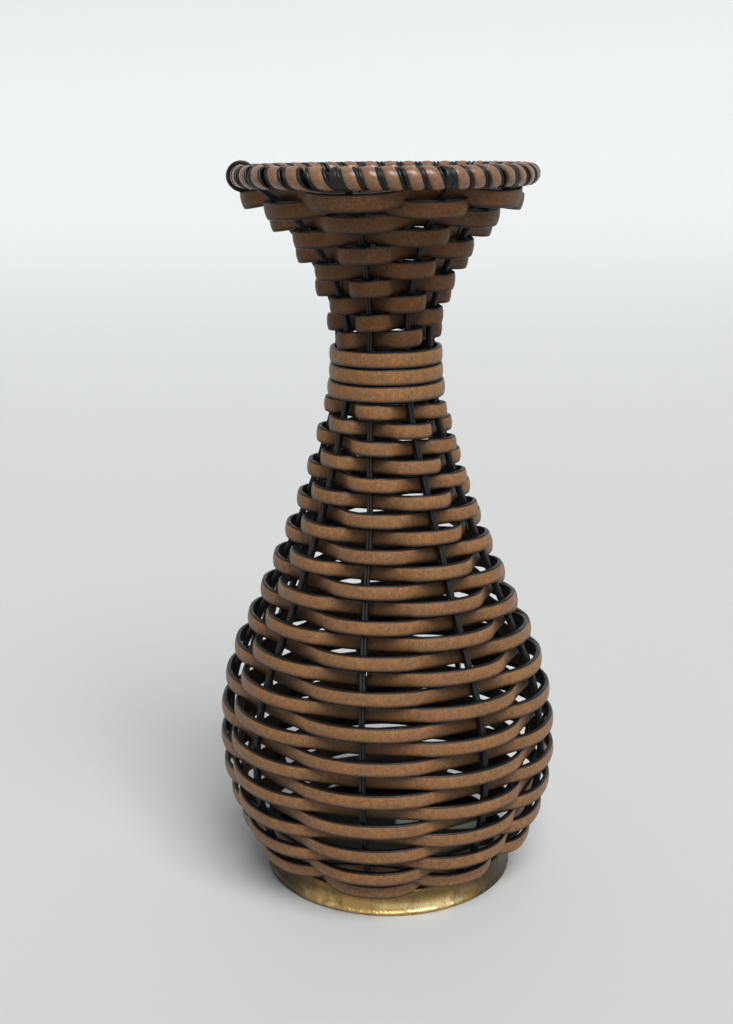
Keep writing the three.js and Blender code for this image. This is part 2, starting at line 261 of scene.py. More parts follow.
# Noise cells to a metre, along, across and out on strip and stakes
BROAD_CELLS = (45, 160, 160)
PATCH_CELLS = (650, 450, 450)
STREAK_CELLS = (2600, 350, 350)
SPECK_CELLS = (1200, 1400, 1400)
SPARK_CELLS = (1700, 1500, 1500)
SPARK_OFFSET = (0.3, 0.2, 0.1)
BACK_STREAK_CELLS = (250, 1400, 1400)
WEAR_CELLS = (300, 900, 900)
BLACK_GRAIN_CELLS = (1500, 2500, 2500)
# Noise cells to a metre in X, Y and Z on the foot
DENT_CELLS = (90, 90, 45)
CLOUD_CELLS = (48, 48, 76.8)
METAL_GRAIN_CELLS = (700, 700, 700)
PLATE_CLOUD_CELLS = (90, 90, 90)
PLATE_GRAIN_CELLS = (1500, 1500, 1500)

# Painted light: where the base plate is pale, as lowest and highest corners in millimetres, seen from
# above
PLATE_LIGHT_PATCHES = [((4, 25), (16, 31)), ((27, 20), (44, 34))]
LIGHT_PATCH_BLUR = 1 * MM

RANGE_SOCKETS = ("From Min", "From Max", "To Min", "To Max")


def linear(colour, share=1):
    """A colour of 0 to 255 steps, times a share, as the linear values that shaders take."""
    def one(step):
        part = step * share / 255
        return part / 12.92 if part <= 0.04045 else ((part + 0.055) / 1.055) ** 2.4
    return tuple(one(step) for step in colour) + (1.0,)


def place(radius, turn, height):
    """Points from radius, turn round the axis from the front, and height."""
    return np.stack([radius * np.sin(turn), -radius * np.cos(turn), height + 0 * turn], axis=-1)


def smoothstep(value, low, high):
    """From 0 at low to 1 at high, with no corner at either."""
    share = np.clip((value - low) / (high - low), 0, 1)
    return share * share * (3 - 2 * share)


def centripetal(points, steps=60):
    """A centripetal Catmull-Rom curve through points, with so many steps between two of them."""
    points = np.array(points)
    ends = np.vstack([2 * points[0] - points[1], points, 2 * points[-1] - points[-2]])
    pieces = []
    for index in range(len(points) - 1):
        p0, p1, p2, p3 = ends[index:index + 4]
        gap0, gap1, gap2 = (math.sqrt(np.linalg.norm(b - a)) for a, b in ((p0, p1), (p1, p2), (p2, p3)))
        leave = ((p1 - p0) / gap0 - (p2 - p0) / (gap0 + gap1) + (p2 - p1) / gap1) * gap1
        arrive = ((p2 - p1) / gap1 - (p3 - p1) / (gap1 + gap2) + (p3 - p2) / gap2) * gap1
        t = np.linspace(0, 1, steps, endpoint=False)[:, None]
        pieces.append(
            (2 * t**3 - 3 * t**2 + 1) * p1 + (t**3 - 2 * t**2 + t) * leave
            + (3 * t**2 - 2 * t**3) * p2 + (t**3 - t**2) * arrive
        )
    return np.vstack(pieces + [points[-1:]])


class Wall:
    """The wall line by length above the foot bend: radius, height and tilt."""

    def __init__(self):
        end_radius = RIM_RADIUS - STAKE_END_REACH * math.sin(RIM_SEAT_TURN)
        end_height = RIM_HEIGHT - STAKE_END_REACH * math.cos(RIM_SEAT_TURN)
        foot_radius = FOOT_RING_RADIUS - FOOT_RING_WALL - CLEARANCE - STAKE_DEPTH / 2
        foot = (foot_radius, FOOT_BEND_HEIGHT)
        belly = (BELLY_RADIUS, BELLY_HEIGHT)
        neck = (NECK_RADIUS, NECK_HEIGHT)
        end = (end_radius, end_height)
        points = [foot] + self.span(foot, belly, FOOT_TO_BELLY_SHARES)
        points += [belly] + self.span(belly, neck, BELLY_TO_NECK_SHARES)
        points += [neck] + self.span(neck, end, NECK_TO_RIM_SHARES) + [end]
        curve = centripetal(points)
        steps = np.linalg.norm(np.diff(curve, axis=0), axis=1)
        self.lengths = np.concatenate([[0], np.cumsum(steps)])
        self.total = self.lengths[-1]
        self.radii, self.heights = curve.T
        rise = np.gradient(curve, axis=0)
        self.tilts = np.arctan2(-rise[:, 0], rise[:, 1])

    @staticmethod
    def span(start, stop, shares):
        return [
            (start[0] + (stop[0] - start[0]) * radius, start[1] + (stop[1] - start[1]) * height)
            for height, radius in shares
        ]

    def at(self, length):
        inside = np.clip(length, 0, self.total)
        radius = np.interp(inside, self.lengths, self.radii)
        height = np.interp(inside, self.lengths, self.heights)
        tilt = np.interp(inside, self.lengths, self.tilts)
        return radius, height, tilt

    def length_at(self, height):
        return float(np.interp(height, self.heights, self.lengths))


wall = Wall()


def stake_turn(stake, height):
    """Where a stake stands round the axis at a height. Both may be arrays."""
    stake = np.asarray(stake)
    shares = np.array(STAKE_DRIFT_SHARES)[np.mod(stake, STAKE_TOTAL)]
    shoulder = BELLY_HEIGHT + (NECK_HEIGHT - BELLY_HEIGHT) * SHOULDER_SHARE
    levels = [BELLY_HEIGHT, shoulder, NECK_HEIGHT, RIM_HEIGHT]
    drift = shares[..., 0]
    for level in range(1, len(levels)):
        rise = smoothstep(height, levels[level - 1], levels[level])
        drift = drift + rise * (shares[..., level] - shares[..., level - 1])
    return FRONT_STAKE_TURN + STAKE_SPACING * (stake + drift)


def rest_offset(length, side, push_share):
    """How far a stake pushes a strip's middle off the wall line, out (side 1) or in (side -1)."""
    radius, height, tilt = wall.at(length)
    strip_tilt = STAND_TILT_SHARE * tilt
    push = push_share * tilt
    reach = STAKE_DEPTH / 2 + CLEARANCE
    shift = side * (reach + STRIP_THICKNESS / 2) * np.sin(push - strip_tilt)
    stake_face = reach + 0 * radius
    for share in FACE_REACHES:
        near_radius, near_height, near_tilt = wall.at(length + share * STRIP_WIDTH)
        radius_gap = near_radius + side * reach * np.cos(near_tilt) - radius
        height_gap = near_height + side * reach * np.sin(near_tilt) - height
        across = height_gap * np.cos(strip_tilt) - radius_gap * np.sin(strip_tilt)
        gap = side * (radius_gap * np.cos(strip_tilt) + height_gap * np.sin(strip_tilt))
        beside = np.abs(across - shift) < BESIDE_SHARE * STRIP_WIDTH
        stake_face = np.where(beside, np.maximum(stake_face, gap), stake_face)
    return side * (stake_face + STRIP_THICKNESS / 2) / np.cos(push - strip_tilt)


def set_range(node, *numbers):
    """A Map Range node's numbers: low and high, and the values at low and at high."""
    for key, number in zip(RANGE_SOCKETS, numbers):
        node.inputs[key].default_value = number


class Nodes:
    """A material's node tree, with short calls that add and join nodes."""

    def __init__(self, name):
        self.material = bpy.data.materials.new(name)
        self.material.use_nodes = True
        self.tree = self.material.node_tree
        self.tree.nodes.clear()
        self.output = self.add("ShaderNodeOutputMaterial")

    def add(self, kind, **settings):
        node = self.tree.nodes.new(kind)
        for key, value in settings.items():
            setattr(node, key, value)
        return node

    def join(self, source, target):
        self.tree.links.new(source, target)

    def feed(self, target, value):
        """Join a socket, or set a plain value."""
        if isinstance(value, bpy.types.NodeSocket):
            self.join(value, target)
        else:
            target.default_value = value

    def grain(self):
        """Place on a swept piece in metres: along, across and out."""
        return self.add("ShaderNodeAttribute", attribute_name="grain").outputs["Vector"]

    def spot(self):
        """Place in the frame's axes."""
        return self.add("ShaderNodeTexCoord").outputs["Object"]

    def noise(self, vector, cells, detail=3, roughness=0.55, offset=(0, 0, 0)):
        """Noise at a place, with so many cells to a metre in each direction."""
        stretched = self.add("ShaderNodeMapping")
        self.join(vector, stretched.inputs["Vector"])
        stretched.inputs["Scale"].default_value = cells
        stretched.inputs["Location"].default_value = offset
        node = self.add("ShaderNodeTexNoise")
        self.join(stretched.outputs["Vector"], node.inputs["Vector"])
        node.inputs["Scale"].default_value = 1
        node.inputs["Detail"].default_value = detail
        node.inputs["Roughness"].default_value = roughness
        return node.outputs["Fac"]

    def spread(self, value, low, high, at_low, at_high):
        """A value's way from low to high, as a smooth change between two other values."""
        node = self.add("ShaderNodeMapRange", interpolation_type="SMOOTHSTEP")
        self.join(value, node.inputs["Value"])
        set_range(node, low, high, at_low, at_high)
        return node.outputs["Result"]

    def maths(self, operation, first, second=0.0):
        node = self.add("ShaderNodeMath", operation=operation)
        self.feed(node.inputs[0], first)
        self.feed(node.inputs[1], second)
        return node.outputs["Value"]

    def blend(self, factor, first, second):
        node = self.add("ShaderNodeMix", data_type="RGBA")
        self.feed(node.inputs[0], factor)
        self.feed(node.inputs[6], first)
        self.feed(node.inputs[7], second)
        return node.outputs[2]

    def layer(self, colour, *layers):
        """Colours laid over a colour, each by a noise: its low, high, strength there, and colour."""
        for noise, low, high, at_low, at_high, over in layers:
            colour = self.blend(self.spread(noise, low, high, at_low, at_high), colour, over)
        return colour

    def part(self, vector, axis):
        node = self.add("ShaderNodeSeparateXYZ")
        self.join(vector, node.inputs["Vector"])
        return node.outputs[axis]

    def bump(self, height, depth):
        node = self.add("ShaderNodeBump")
        self.join(height, node.inputs["Height"])
        node.inputs["Strength"].default_value = 1
        node.inputs["Distance"].default_value = depth
        return node.outputs["Normal"]

    def surface(self, colour, roughness, metallic=0.0, normal=None, specular=0.5):
        node = self.add("ShaderNodeBsdfPrincipled")
        self.feed(node.inputs["Base Color"], colour)
        self.feed(node.inputs["Roughness"], roughness)
        node.inputs["Metallic"].default_value = metallic
        node.inputs["Specular IOR Level"].default_value = specular
        if normal is not None:
            self.join(normal, node.inputs["Normal"])
        self.join(node.outputs["BSDF"], self.output.inputs["Surface"])
        return self.material


def strip_face_material(name, face_width, brown, tone, rough, specular):
    """Brown fibrous face: orange and dull mottling, pale sparks, faint cross streaks. It is
    darker at the edges; the wider dark at the lower edge and the darker tone where the strip passes
    inside a stake are painted shade."""
    make = Nodes(name)
    grain = make.grain()
    broad = make.noise(grain, BROAD_CELLS, detail=2)
    patches = make.noise(grain, PATCH_CELLS, roughness=0.6)
    streaks = make.noise(grain, STREAK_CELLS, roughness=0.65)
    specks = make.noise(grain, SPECK_CELLS, roughness=0.7)
    sparks = make.noise(grain, SPARK_CELLS, detail=2, roughness=0.6, offset=SPARK_OFFSET)
    dull = linear(STRIP_DULL, tone)
    dark = linear(brown, 0.55 * tone)
    colour = make.layer(
        linear(brown, tone),
        (patches, 0.5, 0.72, 0, 0.7, linear(STRIP_ORANGE, tone)),
        (patches, 0.28, 0.5, 0.6, 0, dull),
        (broad, 0.4, 0.7, 0, 0.4, dull),
        (streaks, 0.42, 0.72, 0, 0.3, dark),
        (specks, 0.48, 0.7, 0, 0.6, dark),
        (sparks, 0.5, 0.75, 0, 0.4, linear(STRIP_SPARK, tone)),
    )
    across = make.part(grain, "Y")
    half_face = face_width / 2
    # Dark edges, the lower one wider as painted shade under the crowned face
    upper = make.spread(across, half_face - UPPER_EDGE_FADE, half_face, 0, 0.75)
    lower = make.spread(across, -half_face, LOWER_EDGE_AND_SHADE_FADE - half_face, 0.85, 0)
    colour = make.blend(make.maths("MAXIMUM", upper, lower), colour, linear(STRIP_DULL, SHADE_TONE))
    # Painted shade where the strip passes inside a stake
    inside = make.add("ShaderNodeAttribute", attribute_name="inside").outputs["Fac"]
    colour = make.blend(make.maths("MULTIPLY", inside, INSIDE_SHADE), colour, linear(brown, SHADE_TONE))
    height = make.maths("ADD", specks, make.maths("MULTIPLY", streaks, 0.6))
    gloss = make.spread(specks, 0.3, 0.7, rough, rough + 0.12)
    return make.surface(colour, gloss, normal=make.bump(height, 0.06 * MM), specular=specular)


def strip_back_material():
    """Dark brown fibrous back, dull."""
    make = Nodes("strip_back")
    streaks = make.noise(make.grain(), BACK_STREAK_CELLS, roughness=0.6)
    colour = make.layer(linear(STRIP_BACK), (streaks, 0.35, 0.7, 0, 1, linear(STRIP_BACK, 1.6)))
    rough = make.spread(streaks, 0.3, 0.7, 0.5, 0.65)
    return make.surface(colour, rough, normal=make.bump(streaks, 0.04 * MM), specular=0.25)


def black_material(name, black):
    """Glossy black with slight wear that dulls it in patches."""
    make = Nodes(name)
    grain = make.grain()
    wear = make.noise(grain, WEAR_CELLS)
    fine = make.noise(grain, BLACK_GRAIN_CELLS, detail=2)
    colour = make.layer(linear(black), (wear, 0.45, 0.75, 0, 0.6, linear(black, 1.9)))
    rough = make.spread(wear, 0.35, 0.7, BLACK_ROUGHNESS, BLACK_ROUGHNESS + 0.2)
    return make.surface(colour, rough, normal=make.bump(fine, 0.03 * MM), specular=0.3)


def gold_material(name, gold_colour, highlight_colour, worn_and_shade_colour):
    """Beaten metal, worn to a darker metal in patches, with a painted highlight band and glinting spots
    along the lower half, and painted shade at the top under the rows and at both sides."""
    make = Nodes(name)
    spot = make.spot()
    dents = make.noise(spot, DENT_CELLS, roughness=0.6)
    cloud = make.noise(spot, CLOUD_CELLS, roughness=0.6)
    fine = make.noise(spot, METAL_GRAIN_CELLS, detail=4, roughness=0.7)
    bright, worn = linear(highlight_colour), linear(worn_and_shade_colour)
    aside = make.maths("ABSOLUTE", make.part(spot, "X"))
    height = make.part(spot, "Z")

    def by_height(low, high, at_low, at_high):
        return make.spread(height, low * FOOT_RING_HEIGHT, high * FOOT_RING_HEIGHT, at_low, at_high)

    # Painted shade: both sides darker, where the metal reflects dark surroundings, and the top darker
    # under the rows
    side_painted_shade = make.spread(aside, 0.5 * FOOT_RING_RADIUS, 0.8 * FOOT_RING_RADIUS, 0, 0.95)
    top_painted_shade = by_height(0.5, 0.9, 0, 0.75)
    # Painted highlight: a bright band along the lower half, in cloudy patches
    highlight_band = make.maths("MULTIPLY", by_height(0.05, 0.25, 0, 1), by_height(0.3, 0.65, 1, 0))
    painted_highlight = make.maths("MULTIPLY", highlight_band, make.spread(cloud, 0.4, 0.62, 0, 1))
    colour = make.blend(painted_highlight, linear(gold_colour), bright)
    colour = make.layer(colour, (dents, 0.48, 0.7, 0, 0.7, worn), (fine, 0.5, 0.7, 0, 0.6, worn))
    # Painted glints within the highlight band
    glints = make.maths("MULTIPLY", painted_highlight, make.spread(fine, 0.3, 0.48, 0.8, 0))
    colour = make.blend(glints, colour, bright)
    colour = make.blend(top_painted_shade, colour, worn)
    colour = make.blend(side_painted_shade, colour, linear(worn_and_shade_colour, 0.8))
    rough = make.spread(fine, 0.3, 0.7, 0.24, 0.42)
    relief = make.maths("ADD", make.maths("MULTIPLY", dents, 8.0), fine)
    return make.surface(colour, rough, metallic=1.0, normal=make.bump(relief, 0.2 * MM))


def plate_material():
    """Plate darkened as painted shade, with two pale patches of painted light and a faint grain."""
    make = Nodes("plate_shade_and_light")
    spot = make.spot()
    cloud = make.noise(spot, PLATE_CLOUD_CELLS, detail=4)
    fine = make.noise(spot, PLATE_GRAIN_CELLS, detail=2)
    # The plate's dark colour is painted shade, with random darker cloud
    colour = make.layer(linear(PLATE_SHADE_DARK), (cloud, 0.35, 0.7, 0, 0.6, linear(PLATE_SHADE_DARK, 0.6)))
    # Painted light: pale patches where light through the weave falls on the plate
    for low, high in PLATE_LIGHT_PATCHES:
        inside = 1.0
        for axis, least, most in zip("XY", low, high):
            part = make.part(spot, axis)
            for edge, at_low, at_high in ((least * MM, 0, 1), (most * MM, 1, 0)):
                fade = make.spread(part, edge - LIGHT_PATCH_BLUR, edge + LIGHT_PATCH_BLUR, at_low, at_high)
                inside = make.maths("MULTIPLY", fade, inside)
        colour = make.blend(inside, colour, linear(PLATE_LIT_COLOUR))
    rough = make.spread(fine, 0.3, 0.7, 0.4, 0.55)
    return make.surface(colour, rough, normal=make.bump(fine, 0.02 * MM), specular=0.35)


def floor_material():
    """Pale floor that takes the shadow and turns paler far behind, as a backdrop."""
    make = Nodes("pale_floor")
    fade = make.spread(make.part(make.spot(), "Y"), *FLOOR_FADE, 0, 1)
    colour = make.blend(fade, linear(FLOOR_PALE), linear(BACKDROP_PALE))
    return make.surface(colour, 0.6, specular=0.2)


FACE = strip_face_material(
    "strip_face", BODY_FACE_WIDTH, STRIP_BROWN, tone=1, rough=0.38, specular=0.25,
)
BAND_FACE = strip_face_material(
    "band_face", BAND_FACE_WIDTH, STRIP_BROWN, tone=1.04, rough=0.38, specular=0.25,
)
# Painted shade: the mouth strips take a darker, more saturated brown at a lower tone, for the rim's shade
MOUTH_FACE = strip_face_material(
    "mouth_face", MOUTH_FACE_WIDTH, MOUTH_SHADED_BROWN, tone=0.72, rough=0.4, specular=0.2,
)
LASHING_FACE = strip_face_material(
    "lashing_face", LASHING_FACE_WIDTH, LASHING_BROWN, tone=0.96, rough=0.18, specular=0.5,
)
EDGE = black_material("strip_edge", EDGE_BLACK)
BACK = strip_back_material()
STAKE = black_material("stake_black", STAKE_BLACK)
HOOP = black_material("hoop_black", HOOP_BLACK)
GOLD_LEAF = gold_material("gold_leaf", GOLD, GOLD_HIGHLIGHT, BRONZE)
# Painted shade: the ring's inside is a darkened copy of the gold, with the same painted highlight and
# shade
RING_INSIDE = gold_material("ring_inside", SHADED_INNER_BRONZE, BRONZE, PLATE_SHADE_DARK)
PLATE = plate_material()


def add_mesh(name, vertices, faces, materials, indices):
    """A smooth mesh in the scene, with the number of each face's material."""
    mesh = bpy.data.meshes.new(name)
    mesh.from_pydata(vertices, [], faces)
    for material in materials:
        mesh.materials.append(material)
    mesh.polygons.foreach_set("material_index", indices)
    mesh.polygons.foreach_set("use_smooth", [True] * len(faces))
    mesh.update()
    piece = bpy.data.objects.new(name, mesh)
    bpy.context.scene.collection.objects.link(piece)
    return piece


def tube_faces(stations, corners, closed):
    """Faces between the outlines of neighbouring stations, and from last to first if closed."""
    faces = []
    for station in range(stations if closed else stations - 1):
        near, far = station * corners, (station + 1) % stations * corners
        for corner in range(corners):
            after = (corner + 1) % corners
            faces.append((near + corner, near + after, far + after, far + corner))
    return faces


def sweep(name, stations, parts, materials, closed=False, scales=(1, 1), inside=0):
    """A mesh swept through stations, given as their middles, ups and outs. The parts are an
    outline of points (across, out) in metres and the material from each point to the next.
    The scales stretch the outline, and inside tells how far a station lies inside the stakes."""
    middles, ups, outs = stations
    outline, kinds = np.array(parts[0]), parts[1]
    total, corners = len(middles), len(outline)
    widths, depths = (np.broadcast_to(scale, total)[:, None, None] for scale in scales)
    vertices = (
        middles[:, None] + ups[:, None] * outline[None, :, 0, None] * widths
        + outs[:, None] * outline[None, :, 1, None] * depths
    ).reshape(-1, 3)
    faces = tube_faces(total, corners, closed)
    indices = kinds * (len(faces) // corners)
    if not closed:
        last = (total - 1) * corners
        faces += [tuple(reversed(range(corners))), tuple(range(last, last + corners))]
        indices += [kinds[-1]] * 2
    piece = add_mesh(name, vertices.tolist(), faces, materials, indices)
    steps = np.linalg.norm(np.diff(middles, axis=0), axis=1)
    grain = np.zeros((total, corners, 3))
    grain[:, :, 0] = np.concatenate([[0], np.cumsum(steps)])[:, None]
    grain[:, :, 1:] = outline[None]
    depth_inside = np.repeat(np.broadcast_to(inside, total), corners).astype(float)
    attribute = piece.data.attributes.new("grain", "FLOAT_VECTOR", "POINT")
    attribute.data.foreach_set("vector", grain.reshape(-1))
    attribute = piece.data.attributes.new("inside", "FLOAT", "POINT")
    attribute.data.foreach_set("value", depth_inside)
    return piece


def finish_piece(piece, node):
    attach(piece, "root")
    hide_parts(node)


def arc(across, out, radius, angles):
    """Points round a centre, by degrees from straight out towards the side."""
    turns = [math.radians(angle) for angle in angles]
    return [(across + radius * math.sin(turn), out + radius * math.cos(turn)) for turn in turns]


def crowned_outline(half_face, side):
    """An outline of a crowned face, a side below its edge, and that side mirrored."""
    bends = [2 * step / CROWN_SIDES - 1 for step in range(CROWN_SIDES + 1)]
    face = [(half_face * bend, STRIP_THICKNESS / 2 - STRIP_CROWN * bend**2) for bend in bends]
    return face + side + [(-across, out) for across, out in reversed(side)]


def strip_section(face_width):
    """Crowned face, rounded shoulders and flat back, with the material of each side."""
    half_face, half_depth = face_width / 2, STRIP_THICKNESS / 2
    top = half_depth - STRIP_CROWN - SHOULDER_DROP
    side = []
    for degrees in SHOULDER_DEGREES:
        angle = math.radians(degrees)
        side.append((half_face + SHOULDER_WIDTH * math.sin(angle), top + SHOULDER_DROP * math.cos(angle)))
    corner = half_face + SHOULDER_WIDTH - BACK_CORNER
    side += reversed(arc(corner, BACK_CORNER - half_depth, BACK_CORNER, BACK_DEGREES))
    shoulder = [ON_EDGE] * len(side)
    kinds = [ON_FACE] * CROWN_SIDES + shoulder + [ON_BACK] + shoulder
    return crowned_outline(half_face, side), kinds


def lashing_section():
    """A narrower face between two black beads that sit lower, over a flat back."""
    half_face, half_depth = LASHING_FACE_WIDTH / 2, STRIP_THICKNESS / 2
    flat = half_face - LASHING_CORNER
    corner_out = half_depth - STRIP_CROWN - LASHING_CORNER
    side = arc(flat, corner_out, LASHING_CORNER, LASHING_CORNER_DEGREES)
    side += arc(
        half_face + LASHING_BEAD_RADIUS, half_depth - LASHING_BEAD_DROP,
        LASHING_BEAD_RADIUS, LASHING_BEAD_DEGREES,
    )
    side.append((half_face, -half_depth))
    corner = [ON_FACE] * (len(LASHING_CORNER_DEGREES) - 1)
    bead = [ON_EDGE] * (len(side) - len(corner))
    kinds = [ON_FACE] * CROWN_SIDES + corner + bead + [ON_BACK] + bead + corner
    return crowned_outline(flat, side), kinds


def stake_section():
    """Two round ribs outside and two inside, with a groove between them."""
    rib = STAKE_WIDTH / 4
    outline = []
    for side, turned in ((1, 0), (-1, 180)):
        for centre in (rib * side, -rib * side):
            for degrees in RIB_DEGREES:
                angle = math.radians(degrees + turned)
                out = side * (STAKE_DEPTH / 2 - rib) + rib * math.sin(angle)
                outline.append((centre + rib * math.cos(angle), out))
    return outline, [0] * len(outline)


def hoop_section():
    """A round core, ribbed along its length."""
    outline = []
    for corner in range(HOOP_CORNERS):
        angle = FULL_TURN * corner / HOOP_CORNERS
        reach = HOOP_THICKNESS / 2 + HOOP_RIB_HEIGHT * math.cos(HOOP_RIBS * angle)
        outline.append((reach * math.sin(angle), reach * math.cos(angle)))
    return outline, [0] * len(outline)


BODY_PARTS = strip_section(BODY_FACE_WIDTH)
BAND_PARTS = strip_section(BAND_FACE_WIDTH)
MOUTH_PARTS = strip_section(MOUTH_FACE_WIDTH)
LASHING_PARTS = lashing_section()
STAKE_PARTS = stake_section()
HOOP_PARTS = hoop_section()

BODY_TOP_PITCH = STRIP_WIDTH + BODY_TOP_GAP
BODY_END_PITCH = STRIP_WIDTH + BODY_END_GAP
LOW_PITCH = STRIP_WIDTH + LOW_ROW_GAP
MOUTH_PITCH = STRIP_WIDTH + MOUTH_LOW_GAP
OUTER_BAND_RISE = (NECK_BAND_TOTAL - 1) / 2 * (STRIP_WIDTH + NECK_BAND_GAP)
BODY_TOP = wall.length_at(NECK_BAND_HEIGHT - OUTER_BAND_RISE) - STRIP_WIDTH - BODY_START_GAP
MOUTH_START = wall.length_at(NECK_BAND_HEIGHT + OUTER_BAND_RISE) + STRIP_WIDTH + MOUTH_START_GAP
MOUTH_END = wall.total - RIM_MARGIN
CLOSING_TURNS = (BODY_TOP - LOW_ROWS_LENGTH) / ((BODY_TOP_PITCH + BODY_END_PITCH) / 2)


def body_lengths(position):
    """The body strip starts level, falls ever closer, and stays closest near the foot."""
    turns = np.maximum(position, 0) / STAKE_TOTAL
    high = np.minimum(turns, CLOSING_TURNS)
    low = turns - high
    loss = (BODY_TOP_PITCH - BODY_END_PITCH) / CLOSING_TURNS
    return BODY_TOP - high * BODY_TOP_PITCH + high * high * loss / 2 - low * LOW_PITCH


def mouth_lengths(position):
    """The mouth strip rises with rows that open up, and runs level under the rim."""
    turns = position / STAKE_TOTAL
    rising = MOUTH_START + turns * MOUTH_PITCH + turns * turns * MOUTH_GAP_GROWTH / 2
    return MOUTH_END - LEVEL_REACH * np.log1p(np.exp((MOUTH_END - rising) / LEVEL_REACH))


def strip_stations(length, offset, turn, push_share):
    """Middles, ups and outs of strip that stands off the wall line by an offset."""
    radius, height, tilt = wall.at(length)
    push = push_share * tilt
    strip_tilt = STAND_TILT_SHARE * tilt
    middles = place(radius + offset * np.cos(push), turn, height + offset * np.sin(push))
    ups = place(-np.sin(strip_tilt), turn, np.cos(strip_tilt))
    outs = place(np.cos(strip_tilt), turn, np.sin(strip_tilt))
    return middles, ups, outs


def woven_stations(start, end, lengths_at, even_side, push_share):
    """Stations of strip from one stake to another, and how far each lies inside the stakes. A
    position counts the stakes passed, and the strip goes by turns outside and inside of them."""
    total = int(round((end - start) * STATIONS_PER_STAKE))
    positions = np.linspace(start, end, total + 1)
    lengths = lengths_at(positions)
    height = wall.at(lengths)[1]
    before = np.floor(positions).astype(int)
    turn_before = stake_turn(before, height)
    turn_after = stake_turn(before + 1, height)
    turn = turn_before + (turn_after - turn_before) * (positions - before)
    nearest = np.round(positions).astype(int)
    side = np.where(nearest % 2 == 0, even_side, -even_side)
    away = np.clip((np.abs(positions - nearest) - FLAT_SHARE) / (0.5 - FLAT_SHARE), 0, 1)
    strength = np.cos(away * math.pi / 2) ** FULLNESS
    rest_out, rest_in = (rest_offset(lengths, way, push_share) for way in (1, -1))
    offset = strength * np.where(side > 0, rest_out, rest_in)
    return strip_stations(lengths, offset, turn, push_share), strength * (side < 0)


def weave(prefix, start, end, total, lengths_at, even_side, push_share, parts, face):
    """Strip in several lengths of about the same size. They meet behind a stake, so each goes on
    for a whole number of stake pairs, less the gap that it leaves at both ends."""
    pairs = (end - start) / 2
    joins = [start + 2 * math.floor(index * pairs / total + 0.5) for index in range(total + 1)]
    gap = CLEARANCE / NECK_RADIUS / STAKE_SPACING
    for index in range(total):
        node = f"{prefix}_{index + 1}"
        ends = joins[index] + gap, joins[index + 1] - gap
        stations, inside = woven_stations(*ends, lengths_at, even_side, push_share)
        piece = sweep(node + "_strip", stations, parts, [face, EDGE, BACK], inside=inside)
        finish_piece(piece, node)


def make_body_strips():
    room = (CLOSING_TURNS + (LOW_ROWS_LENGTH - FOOT_MARGIN) / LOW_PITCH) * STAKE_TOTAL
    end = BODY_START_STAKE + 2 * math.floor((room - BODY_START_STAKE) / 2)
    weave(
        "body_weaver", BODY_START_STAKE, end, BODY_LENGTHS,
        body_lengths, 1, BODY_PUSH_SHARE, BODY_PARTS, FACE,
    )


def make_mouth_strips():
    top_pitch = math.sqrt(MOUTH_PITCH**2 + 2 * MOUTH_GAP_GROWTH * (MOUTH_END - MOUTH_START))
    level_from = (top_pitch - MOUTH_PITCH) / MOUTH_GAP_GROWTH * STAKE_TOTAL
    end = 2 * math.ceil((level_from + LEVEL_STAKES) / 2)
    weave(
        "mouth_weaver", MOUTH_START_STAKE, end, MOUTH_LENGTHS,
        mouth_lengths, -1, MOUTH_PUSH_SHARE, MOUTH_PARTS, MOUTH_FACE,
    )


def make_neck_bands():
    turns = np.linspace(0, FULL_TURN, BAND_STATIONS, endpoint=False)
    for index in range(NECK_BAND_TOTAL):
        drop = index / (NECK_BAND_TOTAL - 1) * 2 * OUTER_BAND_RISE
        length = wall.length_at(NECK_BAND_HEIGHT + OUTER_BAND_RISE - drop)
        offset = rest_offset(length, 1, BODY_PUSH_SHARE)
        stations = strip_stations(length, offset, turns, BODY_PUSH_SHARE)
        node = f"neck_band_{index + 1}"
        piece = sweep(node + "_strip", stations, BAND_PARTS, [BAND_FACE, EDGE, BACK], closed=True)
        finish_piece(piece, node)


def stake_path(loose):
    """Radius and height up the wall and on in a loop round the outside of the rim. The loose
    one lies over the lashing, and the others are level with its wraps."""
    lengths = np.linspace(0, wall.total - LOOP_START_GAP, STAKE_STATIONS)
    radius, height = wall.at(lengths)[:2]
    points = [(radius[0], BASE_PLATE_THICKNESS + CLEARANCE)] + list(zip(radius, height))
    carrier = LASHING_OUTER if loose else HOOP_THICKNESS / 2 + 2 * CLEARANCE
    reach = carrier + LOOP_DEPTH / 2
    for degrees in LOOP_DEGREES:
        angle = math.radians(degrees)
        points.append((RIM_RADIUS + reach * math.cos(angle), RIM_HEIGHT + reach * math.sin(angle)))
    return centripetal(points, LOOP_STEPS)


